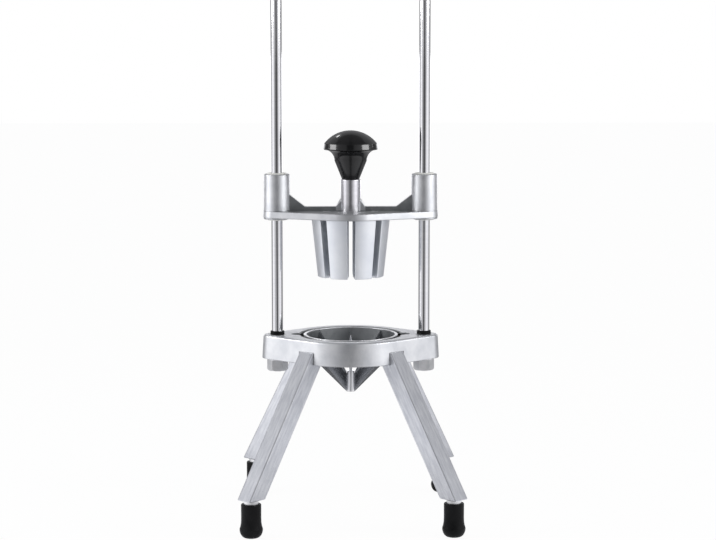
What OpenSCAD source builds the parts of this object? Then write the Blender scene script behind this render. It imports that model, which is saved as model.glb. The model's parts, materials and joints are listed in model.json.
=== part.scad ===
// Eight-wedge fruit press. A pusher head slides down two guide rods and drives the
// fruit through a ring of eight sloping blades, seated in a cast base on four legs.
// Millimetres. The origin is on the floor under the middle of the blade ring,
// +Z is up, the front of the press is at -Y and its left at -X.

/* [Base casting] */
// Height of the base's top face above the floor
deck_z = 183; // [170:0.1:230]
// Thickness of the base casting
base_t = 23.6; // [22:0.1:30]
// Wall between the opening and the round middle's outer face
base_wall = 12; // [11:0.5:16]
// Radius of the ears that hold the rods
base_ear_r = 15.2; // [12.5:0.5:20]
// Bevel on the mouth of the opening
mouth_bevel = 0.8; // [0.2:0.1:1.5]

/* [Blade ring] */
// Inner radius of the blade ring
ring_bore_r = 44; // [40:0.5:50]
// Wall of the blade ring
ring_wall = 3; // [2.6:0.1:5]
// Radial width of the seal round the ring
seal_w = 4; // [2.5:0.1:5]
// How far the seal's top lies under the deck
seal_drop = 1.2; // [0.2:0.1:3]
// Height of the ledge that the ring sits on
ledge_t = 5.4; // [4.5:0.1:7]
// How far the ledge reaches under the ring
ledge_w = 1.5; // [1:0.1:2.5]
// Reach of the ring's lugs beyond its wall
lug_reach = 5.5; // [5:0.1:6]
// Radius of the lugs' round ends
lug_r = 5; // [4:0.1:5.5]
// Thickness of the lugs
lug_t = 5; // [3:0.1:5.5]
// Depth of the lugs' notches under the deck
notch_depth = 9; // [8.6:0.1:10]
// Clearance round a lug in its notch
notch_gap = 1.5; // [0.5:0.1:2]

/* [Blades] */
// Thickness of a blade
blade_t = 1.2; // [0.8:0.1:1.6]
// Upright height of a blade
blade_h = 17.9; // [14:0.1:18.2]
// Slope of the blades down to the hub
blade_slope = 45; // [30:1:50]
// Depth of the slots in the ring
slot_depth = 2; // [1:0.1:2.2]
// Radius of the hub
hub_r = 5.4; // [4.4:0.1:6]
// Depth of the slots in the hub
hub_slot = 1.4; // [0.8:0.1:1.4]
// Height of the hub above the blades' edges
hub_over = 2.2; // [1:0.1:6]
// How far the hub reaches under the blades
hub_under = 1.2; // [0.2:0.1:3]
// Radius of the centre pin
pin_r = 1.5; // [0.8:0.1:1.8]
// Height of the centre pin above the hub
pin_rise = 35.2; // [20:0.1:36]
// Depth of the centre pin in the hub
pin_seat = 12; // [6:0.5:16]
// Length of the centre pin's point
pin_point = 6; // [2:0.5:10]

/* [Legs and feet] */
// Side of the square leg bar
leg_w = 18; // [12:0.5:18.5]
// Distance of each foot's axis from the middle, along X and along Y
foot_reach = 97.6; // [92:0.1:110]
// Metal above the leg's end in the base
leg_cover = 11.6; // [11:0.1:14]
// Leg's axis inside the base's outer face, at the leg's end
leg_inset = 10.4; // [9.6:0.1:11]
// Wall between the opening and the leg's pocket
pocket_wall = 4; // [3:0.1:5]
// Leg screw's axis outside the pocket's wall
leg_screw_inset = 3.6; // [3.3:0.1:4]
// Length of the leg screw's thread in the deck
leg_screw_hold = 8; // [5:0.5:9]
// Length of the leg screw's shank in the leg
leg_screw_grip = 19; // [16:0.5:22]
// Height of the rubber foot
foot_h = 33; // [26:0.5:40]
// Radius of the foot's top
foot_top_r = 9.8; // [9:0.1:11]
// Radius of the foot where it is widest
foot_r = 11.3; // [11.1:0.1:14]
// Height of the foot's widest place
foot_wide_z = 8.5; // [6:0.5:12]
// Radius of the foot's flat sole
sole_r = 5.5; // [4:0.5:7]
// Radius of the collar between foot and leg
collar_r = 7.1; // [5:0.1:8]
// Height of the collar between foot and leg
collar_h = 3.6; // [2:0.1:6]
// Radius of the foot stud's thread
stud_r = 3; // [2:0.5:3]
// Length of the foot stud in the leg
stud_hold = 8; // [5:0.5:8]
// Length of the foot stud in the rubber
stud_seat = 22; // [12:1:24]

/* [Guide rods] */
// Radius of the guide rods
rod_r = 5.5; // [5:0.1:6.5]
// Distance between the guide rods' axes
rod_pitch = 146; // [144:0.5:160]
// Height of the rods above the deck
rod_rise = 332; // [300:0.1:400]
// Bevel on the rods' ends
rod_bevel = 1.5; // [0.5:0.1:3]
// Distance across the nut's flats
nut_af = 18; // [16.5:0.5:20]
// Height of the nut
nut_h = 11; // [7:0.1:12]
// Bevel on the nut's corners
nut_bevel = 1.2; // [0.3:0.1:1.5]
// Radius of the washer
washer_r = 10.2; // [9.5:0.1:12]
// Thickness of the washer
washer_t = 1.6; // [1:0.1:3]
// Radius of the rubber bumper
bumper_r = 7; // [6.9:0.1:11]
// Height of the rubber bumper
bumper_h = 3.5; // [2:0.1:8]

/* [Pusher head] */
// Height of the head's plate above the deck, as drawn
head_lift = 116.9; // [100:0.1:150]
// Thickness of the head's plate
plate_t = 6.8; // [6:0.1:12]
// Radius of the round middle of the plate
plate_mid_r = 43; // [41:0.5:50]
// Radius of the bosses at their foot
boss_r = 13.1; // [12.5:0.1:16]
// How far the plate's ears stand out beyond the bosses
plate_lip = 0.5; // [0.2:0.1:2]
// Draft of the bosses, from foot to top
boss_draft = 0.4; // [0.1:0.1:1.2]
// Length of the bosses
boss_h = 44.6; // [36:0.1:60]
// How far the bosses reach under the plate
boss_drop = 1.5; // [0.2:0.1:3]
// Bevel on the bosses' top edge
boss_bevel = 1; // [0.3:0.1:1.5]
// Thickness of the web along the head
web_t = 6; // [4:0.5:9]
// Height of the web above the plate
web_rise = 4; // [2:0.1:8]
// Height of the gussets above the web
gusset_rise = 12.5; // [6:0.5:16]
// Length of the gussets along the web
gusset_run = 14.8; // [8:0.1:20]
// Height of the flares at the post above the web
flare_rise = 8.5; // [3:0.5:14]
// Length of the flares at the post
flare_run = 4.5; // [2:0.5:8]
// Radius of the handle post
post_r = 10; // [8.5:0.1:12]
// Height of the handle post above the plate
post_h = 31; // [22:0.1:40]

/* [Guide bushes] */
// Wall of the guide bushes
bush_wall = 2; // [1:0.1:3]
// Length of each bush in its boss
bush_h = 15; // [8:0.5:17]
// Width of the bushes' flange beyond their wall
flange_w = 2; // [1:0.1:2.4]
// Thickness of the bushes' flange
flange_t = 1; // [0.5:0.1:2]

/* [Pusher fingers] */
// Outer radius of the fingers at the plate
finger_top_r = 39.1; // [36:0.1:40]
// Outer radius of the fingers at their lower end
finger_low_r = 32.8; // [30:0.1:36]
// Length of the fingers
finger_h = 58.5; // [45:0.1:60]
// Half width of a finger at its outer wall
finger_half_w = 11.2; // [9:0.1:11.5]
// Half width of a finger at its inner end
finger_nose_half = 1.6; // [1.4:0.1:1.8]
// Distance of the fingers' inner ends from the axis
finger_nose_r = 9; // [8.8:0.1:12]
// Depth of the recess in a finger's sides
recess_depth = 0.9; // [0.3:0.1:1.1]
// Wall left outside the recess
recess_wall = 4; // [3:0.1:6]
// Pad left under the recess
recess_pad = 6; // [4:0.5:12]
// Radius of the circle of finger screws
finger_screw_circle = 26; // [24:0.5:28]
// Length of the finger screws in the fingers
finger_screw_hold = 14; // [8:0.5:20]

/* [Knob] */
// Radius of the knob's rim
knob_r = 27.2; // [24:0.1:32]
// Height of the knob
knob_h = 48.3; // [47:0.1:58]
// Height of the rim above the knob's foot
rim_z = 33; // [31:0.1:34]
// Radius of the rim's rounded edge
rim_round = 3; // [1.5:0.1:4]
// Radius of the knob's foot
neck_r = 8.9; // [8.6:0.1:11]
// Radius of the crease over the neck
crease_r = 16.2; // [13:0.1:18]
// Height of the crease over the knob's foot
crease_z = 18.6; // [16:0.1:24]
// Radius of the threaded insert in the knob
insert_r = 7; // [6:0.1:7.2]
// Length of the threaded insert
insert_h = 24; // [16:0.5:30]
// Radius of the handle stud
handle_stud_r = 5; // [3:0.5:5]
// Length of the handle stud in the post
handle_stud_seat = 17; // [10:0.5:22]

/* [Screws] */
// Radius of the leg screws and the finger screws
screw_r = 2.5; // [2:0.1:2.5]
// Radius of those screws' heads
head_r = 4.25; // [3.8:0.05:4.5]
// Height of the leg screws' heads
head_h = 5; // [4:0.1:6]
// Height of the finger screws' heads
pan_h = 3; // [2:0.1:4]
// Radius of the ring screws
ring_screw_r = 2; // [1.2:0.1:2.1]
// Radius of the ring screws' heads
ring_head_r = 3.6; // [3.2:0.1:4.4]
// Height of the ring screws' heads
ring_head_h = 2.4; // [1.5:0.1:2.8]
// Length of the ring screws in the base
ring_screw_hold = 7; // [4:0.5:8]

/* [Fits] */
// Radial clearance of the rods in the bushes
run_gap = 0.05; // [0.01:0.01:0.1]
// Clearance where pieces are put together
fit_gap = 0.1; // [0.05:0.05:0.2]
// Radial clearance of the screws' and studs' threads
thread_gap = 0.05; // [0.02:0.01:0.1]

/* [Hidden] */
$fn = 96;
eps = 0.01;
blade_count = 8;
sector = 360 / blade_count;
blades = [1:blade_count];
sides = ["left", "right"];
ends = ["upper", "lower"];
corners = ["back_right", "back_left", "front_left", "front_right"];

// Base: everything from the ring outward stacks up in radius
ring_r = ring_bore_r + ring_wall;
opening_r = ring_r + seal_w;
base_mid_r = opening_r + base_wall;
base_z = deck_z - base_t;
ledge_z = base_z + ledge_t;
ledge_r = ring_r - ledge_w;
lug_x = ring_r + lug_reach;
notch_z = deck_z - notch_depth;
rod_x = rod_pitch / 2;

// Blades and hub: the blades' lower edges start at the ledge and slope to the hub
function blade_low(r) = ledge_z - (ring_bore_r - r) * tan(blade_slope);
blade_out_r = ring_bore_r + slot_depth;
blade_in_r = hub_r - hub_slot;
hub_low_z = blade_low(hub_r) - hub_under;
hub_top_z = blade_low(hub_r) + blade_h + hub_over;
hub_round = 1.2;

// Legs: the bar's axis runs from leg_top_r at leg_top_z to the foot's axis
leg_top_z = deck_z - leg_cover;
leg_top_r = base_mid_r - leg_inset;
leg_low_z = foot_h + collar_h;
leg_low_r = foot_reach * sqrt(2);
leg_lean = atan2(leg_low_r - leg_top_r, leg_top_z - leg_low_z);
leg_half = leg_w / 2 / cos(leg_lean);
pocket_r = opening_r + pocket_wall;
leg_screw_r = pocket_r + leg_screw_inset;
leg_head_z = leg_top_z - leg_screw_grip;
foot_flare_z = foot_wide_z + 6;

// Rods and what they carry
rod_top_z = deck_z + rod_rise;
washer_z = base_z - washer_t;
nut_z = washer_z - nut_h;
rod_low_z = nut_z + rod_bevel / 2;
bumper_z = deck_z + bumper_h;

// Pusher head
head_z = deck_z + head_lift;
plate_z = head_z + plate_t;
web_z = plate_z + web_rise;
post_z = plate_z + post_h;
boss_z = head_z - boss_drop;
boss_top_z = boss_z + boss_h;
bush_r = rod_r + run_gap + bush_wall;
flange_r = bush_r + flange_w;
finger_low_z = head_z - finger_h;
pan_sink = pan_h + 0.2;
stud_top_gap = 1;

// ---- Shared shapes ----

// Half outline of a cast post: bevelled foot, drafted wall, bevelled top
function cast_post(r, h, draft, low, top) = [
    [0, 0], [r - low, 0], [r, low], [r - draft, h - top], [r - draft - top, h], [0, h]
];

// Plan with a round middle and two round ears on X, joined by tangent walls, which
// lie a hair inside the round parts so that each meets them at a clean corner
module waisted(mid_r, ear_r, span) {
    hair = 0.02;
    turn = acos((mid_r - ear_r) / span);
    mid = (mid_r - hair) * [cos(turn), sin(turn)];
    ear = [span, 0] + (ear_r - hair) * [cos(turn), sin(turn)];
    circle(r = mid_r);
    for (side = [-1, 1]) translate([side * span, 0]) circle(r = ear_r);
    polygon([
        ear, mid, [-mid[0], mid[1]], [-ear[0], ear[1]],
        -ear, -mid, [mid[0], -mid[1]], [ear[0], -ear[1]]
    ]);
}

// Tube with a bore of its own
module tube(outer, inner, h) {
    difference() {
        cylinder(r = outer, h = h);
        translate([0, 0, -1]) cylinder(r = inner, h = h + 2);
    }
}

// Round bar with bevelled ends
module bevelled_bar(r, h, low, top) {
    rotate_extrude() polygon([
        [0, 0], [r - low, 0], [r, low], [r, h - top], [r - top, h], [0, h]
    ]);
}

// Plan of a ring lug, grown all round by a clearance
module lug_plan(grow) {
    translate([lug_x, 0]) circle(r = lug_r + grow);
    translate([ring_bore_r + ring_wall / 2, -lug_r - grow])
        square([lug_reach + ring_wall / 2, 2 * (lug_r + grow)]);
}

// Side of a leg, in the upright plane through its axis
module leg_side(grow) {
    half = leg_half + grow;
    polygon([
        [leg_top_r - half, leg_top_z], [leg_top_r + half, leg_top_z],
        [leg_low_r + half, leg_low_z], [leg_low_r - half, leg_low_z]
    ]);
}

// Leg bar, grown sideways by a clearance
module leg_bar(grow) {
    rotate([90, 0, 0]) linear_extrude(leg_w + 2 * grow, center = true) leg_side(grow);
}

// Part of the leg bar that lies in the base's pocket
module leg_tenon(grow) {
    difference() {
        intersection() {
            leg_bar(grow);
            translate([0, 0, base_z - 1]) cylinder(r = base_mid_r * 2, h = base_t);
        }
        translate([0, 0, base_z - 2]) cylinder(r = pocket_r, h = base_t + 2);
    }
}

// Socket screw standing on its head
module socket_screw(shank) {
    socket_r = screw_r;
    socket_depth = head_h / 2;
    difference() {
        union() {
            bevelled_bar(head_r, head_h, 0.5, 0.2);
            cylinder(r = screw_r, h = head_h + shank);
        }
        translate([0, 0, -1]) cylinder(r = socket_r, h = socket_depth + 1, $fn = 6);
    }
}

// Pan screw with its shank down and its head above z = 0, with a cross slot
module pan_screw(r, shank, cap_r, cap_h) {
    slot_w = r * 0.4;
    slot_l = cap_r * 1.2;
    difference() {
        union() {
            bevelled_bar(cap_r, cap_h, 0.2, cap_h / 3);
            translate([0, 0, -shank]) cylinder(r = r, h = shank + eps);
        }
        for (turn = [0, 90]) rotate([0, 0, turn])
            translate([-slot_l / 2, -slot_w / 2, cap_h / 2]) cube([slot_l, slot_w, cap_h]);
    }
}

// ---- Base ----

module base_frame() color([0.75, 0.76, 0.78]) {
    difference() {
        translate([0, 0, base_z]) linear_extrude(base_t) waisted(base_mid_r, base_ear_r, rod_x);
        translate([0, 0, base_z - 1]) cylinder(r = ledge_r, h = base_t + 2);
        translate([0, 0, ledge_z]) cylinder(r = opening_r, h = base_t);
        translate([0, 0, deck_z - mouth_bevel])
            cylinder(r1 = opening_r, r2 = opening_r + mouth_bevel + eps, h = mouth_bevel + eps);
        for (side = [0, 180]) rotate([0, 0, side]) {
            translate([0, 0, notch_z]) linear_extrude(base_t) lug_plan(notch_gap);
            translate([lug_x, 0, notch_z - ring_screw_hold - 1])
                cylinder(r = ring_screw_r + thread_gap, h = base_t);
            translate([rod_x, 0, base_z - 1]) cylinder(r = rod_r + thread_gap, h = base_t + 2);
        }
        for (corner = [0:3]) rotate([0, 0, 45 + 90 * corner]) {
            leg_tenon(fit_gap);
            translate([leg_screw_r, 0, leg_top_z - 1])
                cylinder(r = screw_r + thread_gap, h = leg_screw_hold + 2);
        }
    }
}

// Leg on the diagonal at 45 degrees, turned to its corner
module leg(corner) color([0.62, 0.64, 0.68]) rotate([0, 0, 45 + 90 * corner]) {
    difference() {
        leg_bar(0);
        translate([0, 0, base_z]) cylinder(r = pocket_r + fit_gap, h = base_t);
        translate([leg_screw_r, 0, leg_head_z]) cylinder(r = screw_r + fit_gap, h = base_t * 2);
        translate([leg_screw_r, 0, 0]) cylinder(r = head_r + 3 * fit_gap, h = leg_head_z);
        translate([leg_low_r, 0, leg_low_z - 1])
            cylinder(r = stud_r + thread_gap, h = stud_hold + 2);
    }
}

module leg_screws() color([0.7, 0.7, 0.7]) {
    for (corner = [0:3]) rotate([0, 0, 45 + 90 * corner])
        translate([leg_screw_r, 0, leg_head_z - head_h])
            socket_screw(leg_screw_grip + leg_screw_hold);
}

module foot(corner) color([0.08, 0.08, 0.09]) {
    sole_arc = [for (turn = [0:15:90])
        [sole_r + (foot_r - sole_r) * sin(turn), foot_wide_z * (1 - cos(turn))]];
    rotate([0, 0, 45 + 90 * corner]) translate([leg_low_r, 0, 0]) difference() {
        rotate_extrude() polygon(concat([[0, 0]], sole_arc, [
            [foot_r, foot_wide_z + 2], [foot_top_r + 0.4, foot_flare_z],
            [foot_top_r, foot_h - 0.8], [foot_top_r - 0.8, foot_h], [0, foot_h]
        ]));
        translate([0, 0, foot_h - stud_seat - 1])
            cylinder(r = stud_r + thread_gap, h = stud_seat + 2);
    }
}

module foot_studs() color([0.78, 0.78, 0.78]) {
    for (corner = [0:3]) rotate([0, 0, 45 + 90 * corner]) translate([leg_low_r, 0, 0]) {
        translate([0, 0, foot_h]) bevelled_bar(collar_r, collar_h, 0.3, 0.3);
        translate([0, 0, foot_h - stud_seat])
            cylinder(r = stud_r, h = stud_seat + collar_h + stud_hold);
    }
}

// ---- Rods ----

module guide_rod(side) color([0.8, 0.8, 0.8]) {
    translate([side * rod_x, 0, rod_low_z])
        bevelled_bar(rod_r, rod_top_z - rod_low_z, rod_bevel / 2, rod_bevel);
}

module rod_nuts() color([0.7, 0.7, 0.72]) {
    corner_r = nut_af / 2 / cos(30);
    for (side = [-1, 1]) translate([side * rod_x, 0, nut_z]) difference() {
        intersection() {
            cylinder(r = corner_r, h = nut_h, $fn = 6);
            bevelled_bar(corner_r, nut_h, nut_bevel, nut_bevel / 2);
        }
        translate([0, 0, -1]) cylinder(r = rod_r + thread_gap, h = nut_h + 2);
    }
}

module rod_washers() color([0.72, 0.72, 0.74]) {
    for (side = [-1, 1]) translate([side * rod_x, 0, washer_z])
        tube(washer_r, rod_r + fit_gap, washer_t);
}

module bumper(side) color([0.07, 0.07, 0.08]) {
    translate([side * rod_x, 0, deck_z]) difference() {
        bevelled_bar(bumper_r, bumper_h, 0.3, 0.8);
        translate([0, 0, -1]) cylinder(r = rod_r + thread_gap, h = bumper_h + 2);
    }
}

// ---- Blade ring ----

module blade_ring() color([0.72, 0.73, 0.75]) {
    difference() {
        union() {
            translate([0, 0, ledge_z]) cylinder(r = ring_r, h = deck_z - ledge_z);
            for (side = [0, 180]) rotate([0, 0, side])
                translate([0, 0, notch_z]) linear_extrude(lug_t) lug_plan(0);
        }
        translate([0, 0, ledge_z - 1]) cylinder(r = ring_bore_r, h = base_t + 2);
        for (i = blades) rotate([0, 0, i * sector])
            translate([0, -blade_t / 2 - fit_gap / 2, ledge_z - 1])
                cube([blade_out_r + fit_gap, blade_t + fit_gap, base_t + 2]);
        for (side = [0, 180]) rotate([0, 0, side])
            translate([lug_x, 0, notch_z - 1]) cylinder(r = ring_screw_r + fit_gap, h = lug_t + 2);
    }
}

module blade(i) color([0.6, 0.61, 0.63]) {
    outline = [
        [blade_in_r, blade_low(hub_r)], [hub_r, blade_low(hub_r)],
        [ring_bore_r, ledge_z], [blade_out_r, ledge_z],
        [blade_out_r, ledge_z + blade_h], [ring_bore_r, ledge_z + blade_h],
        [hub_r, blade_low(hub_r) + blade_h], [blade_in_r, blade_low(hub_r) + blade_h]
    ];
    rotate([0, 0, (i - 1) * sector]) rotate([90, 0, 0])
        linear_extrude(blade_t, center = true) polygon(outline);
}

module blade_hub() color([0.78, 0.78, 0.8]) {
    slot_h = blade_low(hub_r) + blade_h - hub_low_z + fit_gap;
    translate([0, 0, hub_low_z]) difference() {
        bevelled_bar(hub_r, hub_top_z - hub_low_z, hub_round, hub_round / 2);
        for (i = blades) rotate([0, 0, i * sector])
            translate([blade_in_r - fit_gap / 2, -blade_t / 2 - fit_gap / 4, -1])
                cube([hub_r, blade_t + fit_gap / 2, slot_h + 1]);
        translate([0, 0, hub_top_z - hub_low_z - pin_seat])
            cylinder(r = pin_r + thread_gap, h = pin_seat + 1);
    }
}

module centre_pin() color([0.75, 0.75, 0.77]) {
    length = pin_seat + pin_rise;
    translate([0, 0, hub_top_z - pin_seat]) rotate_extrude() polygon([
        [0, 0], [pin_r, 0], [pin_r, length - pin_point], [pin_r / 4, length], [0, length]
    ]);
}

module ring_seal() color([0.05, 0.05, 0.05]) {
    height = deck_z - seal_drop - ledge_z;
    translate([0, 0, ledge_z]) difference() {
        tube(opening_r - fit_gap, ring_r + fit_gap, height);
        for (side = [0, 180]) rotate([0, 0, side])
            translate([0, 0, -1]) linear_extrude(base_t + 2) lug_plan(notch_gap);
    }
}

module ring_screws() color([0.7, 0.7, 0.7]) {
    for (side = [0, 180]) rotate([0, 0, side])
        translate([lug_x, 0, notch_z + lug_t])
            pan_screw(ring_screw_r, lug_t + ring_screw_hold, ring_head_r, ring_head_h);
}

// ---- Pusher head ----

module head_casting() color([0.75, 0.76, 0.78]) {
    web_end = rod_x - boss_r + boss_draft;
    difference() {
        union() {
            translate([0, 0, head_z]) linear_extrude(plate_t) waisted(plate_mid_r, boss_r + plate_lip, rod_x);
            for (side = [-1, 1]) translate([side * rod_x, 0, boss_z])
                rotate_extrude() polygon(cast_post(boss_r, boss_h, boss_draft, 0.5, boss_bevel));
            rotate([90, 0, 0]) linear_extrude(web_t, center = true)
                for (side = [0, 1]) mirror([side, 0, 0]) polygon([
                    [0, plate_z - 1], [rod_x, plate_z - 1], [rod_x, web_z + gusset_rise],
                    [web_end, web_z + gusset_rise], [web_end - gusset_run, web_z],
                    [post_r + flare_run, web_z], [post_r, web_z + flare_rise],
                    [0, web_z + flare_rise]
                ]);
            translate([0, 0, plate_z - 1]) bevelled_bar(post_r, post_h + 1, 0, 0.5);
        }
        for (side = [-1, 1]) translate([side * rod_x, 0, boss_z - 1])
            cylinder(r = bush_r + fit_gap / 2, h = boss_h + 2);
        translate([0, 0, post_z - handle_stud_seat - 1])
            cylinder(r = handle_stud_r + thread_gap, h = post_h);
        for (i = blades) rotate([0, 0, (i - 0.5) * sector])
            translate([finger_screw_circle, 0, head_z - 1]) {
                cylinder(r = screw_r + fit_gap, h = plate_t + 2);
                translate([0, 0, plate_t + 1 - pan_sink])
                    cylinder(r = head_r + 2 * fit_gap, h = pan_sink + 1);
            }
    }
}

// Wedge between the blades: an outer wall on a cone, sides recessed above a pad
module pusher_finger(i) color([0.82, 0.83, 0.84]) rotate([0, 0, (i - 0.5) * sector]) {
    wall_x = finger_top_r * cos(asin(finger_half_w / finger_top_r));
    side_turn = atan2(finger_half_w - finger_nose_half, wall_x - finger_nose_r);
    recess_run = (wall_x - finger_nose_r) / cos(side_turn) - recess_wall;
    translate([0, 0, finger_low_z]) difference() {
        intersection() {
            cylinder(r1 = finger_low_r, r2 = finger_top_r, h = finger_h);
            linear_extrude(finger_h) polygon([
                [finger_nose_r, -finger_nose_half], [wall_x, -finger_half_w],
                [finger_top_r + 1, -finger_half_w], [finger_top_r + 1, finger_half_w],
                [wall_x, finger_half_w], [finger_nose_r, finger_nose_half]
            ]);
        }
        for (side = [0, 1]) mirror([0, side, 0])
            translate([finger_nose_r, finger_nose_half, recess_pad]) rotate([0, 0, side_turn])
                translate([-1, -recess_depth, 0])
                    linear_extrude(finger_h) polygon([
                        [2, 0], [recess_run - (finger_top_r - finger_low_r), 0],
                        [recess_run - (finger_top_r - finger_low_r) + 1, recess_depth + 1],
                        [2, recess_depth + 1]
                    ]);
        translate([finger_screw_circle, 0, finger_h - finger_screw_hold - 1])
            cylinder(r = screw_r + thread_gap, h = finger_screw_hold + 2);
    }
}

module finger_screws() color([0.7, 0.7, 0.7]) {
    for (i = blades) rotate([0, 0, (i - 0.5) * sector])
        translate([finger_screw_circle, 0, plate_z - pan_sink])
            pan_screw(screw_r, plate_t - pan_sink + finger_screw_hold, head_r, pan_h);
}

// Guide bush of one boss end, with its flange outside the boss
module guide_bush(side, lower) color([0.85, 0.84, 0.8]) {
    translate([side * rod_x, 0, lower ? boss_z : boss_top_z]) mirror([0, 0, lower ? 0 : 1])
        difference() {
            union() {
                cylinder(r = bush_r, h = bush_h);
                translate([0, 0, -flange_t]) bevelled_bar(flange_r, flange_t, 0.3, 0);
            }
            translate([0, 0, -flange_t - 1])
                cylinder(r = rod_r + run_gap, h = bush_h + flange_t + 2);
        }
}

// ---- Knob ----

// Half outline of the knob: neck, cove under the rim, rim and dome
function knob_outline() =
    let (
        rim_x = knob_r - rim_round,
        over = knob_h - rim_z,
        dome_r = (rim_x * rim_x + over * over - rim_round * rim_round)
            / (2 * (over - rim_round)),
        dome_z = knob_h - dome_r,
        dome_turn = atan2(rim_z - dome_z, rim_x),
        rim_start = [rim_x + rim_round * cos(-65), rim_z + rim_round * sin(-65)],
        cove_mid = [crease_r + 2.6, crease_z + 5.3],
        crease = [crease_r, crease_z]
    )
    concat(
        [[0, 0], [neck_r - 0.4, 0], [neck_r, 0.4]],
        [for (t = [0:0.25:0.75])
            (1 - t) * (1 - t) * crease + 2 * t * (1 - t) * cove_mid + t * t * rim_start],
        [for (a = [-65:13:dome_turn - 8]) [rim_x + rim_round * cos(a), rim_z + rim_round * sin(a)]],
        [for (k = [0:9]) let (a = dome_turn + (90 - dome_turn) * k / 9)
            [dome_r * cos(a), dome_z + dome_r * sin(a)]]
    );

module knob() color([0.06, 0.06, 0.07]) {
    translate([0, 0, post_z]) difference() {
        rotate_extrude() polygon(knob_outline());
        translate([0, 0, -1]) cylinder(r = insert_r + fit_gap, h = insert_h + 1 + fit_gap);
    }
}

module knob_insert() color([0.75, 0.62, 0.3]) {
    translate([0, 0, post_z]) difference() {
        cylinder(r = insert_r, h = insert_h);
        translate([0, 0, -1]) cylinder(r = handle_stud_r + thread_gap, h = insert_h);
    }
}

module knob_stud() color([0.7, 0.7, 0.72]) {
    length = handle_stud_seat + insert_h - 1 - stud_top_gap;
    translate([0, 0, post_z - handle_stud_seat])
        bevelled_bar(handle_stud_r, length, 0.8, 0.8);
}

// ---- The press ----

base_frame();
for (k = [0:3]) leg(k);
leg_screws();
for (k = [0:3]) foot(k);
foot_studs();
for (k = [0, 1]) guide_rod(2 * k - 1);
rod_nuts();
rod_washers();
for (k = [0, 1]) bumper(2 * k - 1);
blade_ring();
blade_hub();
centre_pin();
ring_seal();
ring_screws();
for (i = blades) blade(i);
head_casting();
finger_screws();
knob();
knob_insert();
knob_stud();
for (i = blades) pusher_finger(i);
for (k = [0, 1], lower = [0, 1])
    guide_bush(2 * k - 1, lower == 1);
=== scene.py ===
import json
import math

import bmesh
import bpy
from mathutils import Matrix, Vector

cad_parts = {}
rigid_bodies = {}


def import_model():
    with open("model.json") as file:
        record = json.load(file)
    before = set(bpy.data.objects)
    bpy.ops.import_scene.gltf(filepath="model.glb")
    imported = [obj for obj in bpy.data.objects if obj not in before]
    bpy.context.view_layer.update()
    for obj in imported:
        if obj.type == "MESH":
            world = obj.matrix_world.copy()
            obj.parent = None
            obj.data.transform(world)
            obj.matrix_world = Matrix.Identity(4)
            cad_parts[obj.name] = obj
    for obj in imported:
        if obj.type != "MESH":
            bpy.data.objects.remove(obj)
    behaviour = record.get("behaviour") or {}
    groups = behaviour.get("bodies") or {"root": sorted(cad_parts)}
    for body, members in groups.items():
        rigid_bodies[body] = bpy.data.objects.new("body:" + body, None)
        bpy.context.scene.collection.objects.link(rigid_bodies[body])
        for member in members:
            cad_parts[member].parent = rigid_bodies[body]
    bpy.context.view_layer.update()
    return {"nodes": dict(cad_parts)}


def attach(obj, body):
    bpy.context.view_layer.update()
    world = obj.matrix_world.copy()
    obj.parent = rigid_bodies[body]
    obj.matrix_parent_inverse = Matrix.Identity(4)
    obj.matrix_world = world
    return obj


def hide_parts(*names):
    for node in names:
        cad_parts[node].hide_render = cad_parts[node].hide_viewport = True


# Fruit wedger press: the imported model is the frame, these pieces dress it.
# Pieces are modelled in millimetres and brought to metres when they are finished.

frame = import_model()
cadNodes = frame["nodes"]
mm = 0.001

# Mesh helpers


def spin(bm, outline, centre=(0, 0), steps=96):
    # outline is (radius, height) pairs, from bore or axis round to where it started
    known = set(bm.verts)
    verts = [bm.verts.new((r, 0, z)) for r, z in outline]
    edges = [bm.edges.new(pair) for pair in zip(verts, verts[1:])]
    if outline[0][0] > 0:
        edges.append(bm.edges.new((verts[-1], verts[0])))
    bmesh.ops.spin(bm, geom=verts + edges, cent=(0, 0, 0), axis=(0, 0, 1), angle=2 * math.pi,
                   steps=steps, use_merge=True, use_duplicate=False)
    made = [v for v in bm.verts if v not in known]
    bmesh.ops.remove_doubles(bm, verts=made, dist=1e-4)
    made = [v for v in bm.verts if v not in known]
    bmesh.ops.translate(bm, vec=(centre[0], centre[1], 0), verts=made)


def hull(bm, rounds, low, high, steps=96):
    # wraps circles (x, y, radius below, radius above) into one drafted block
    known = set(bm.verts)
    for x, y, lowR, highR in rounds:
        for r, z in ((lowR, low), (highR, high)):
            bmesh.ops.create_circle(bm, segments=steps, radius=r,
                                    matrix=Matrix.Translation((x, y, z)))
    made = [v for v in bm.verts if v not in known]
    wrap = bmesh.ops.convex_hull(bm, input=made, use_existing_faces=False)
    inside = {g for g in wrap["geom_interior"] + wrap["geom_unused"]
              if isinstance(g, bmesh.types.BMVert)}
    bmesh.ops.delete(bm, geom=list(inside), context="VERTS")
    made = [v for v in bm.verts if v not in known]
    edges = {e for v in made for e in v.link_edges}
    bmesh.ops.dissolve_limit(bm, angle_limit=math.radians(0.4), verts=made, edges=list(edges))


def plate(bm, outline, thick):
    # an outline in the XZ plane, made a slab of this thickness about y = 0
    face = bm.faces.new([bm.verts.new((x, -thick / 2, z)) for x, z in outline])
    grown = bmesh.ops.extrude_face_region(bm, geom=[face])["geom"]
    made = [v for v in grown if isinstance(v, bmesh.types.BMVert)]
    bmesh.ops.translate(bm, vec=(0, thick, 0), verts=made)


def keepBehind(bm, point, normal):
    # cuts away what lies past a plane and closes the cut
    cut = bmesh.ops.bisect_plane(bm, geom=bm.verts[:] + bm.edges[:] + bm.faces[:], plane_co=point,
                                 plane_no=normal, clear_outer=True)["geom_cut"]
    bmesh.ops.contextual_create(bm, geom=[g for g in cut if isinstance(g, bmesh.types.BMEdge)])


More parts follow.
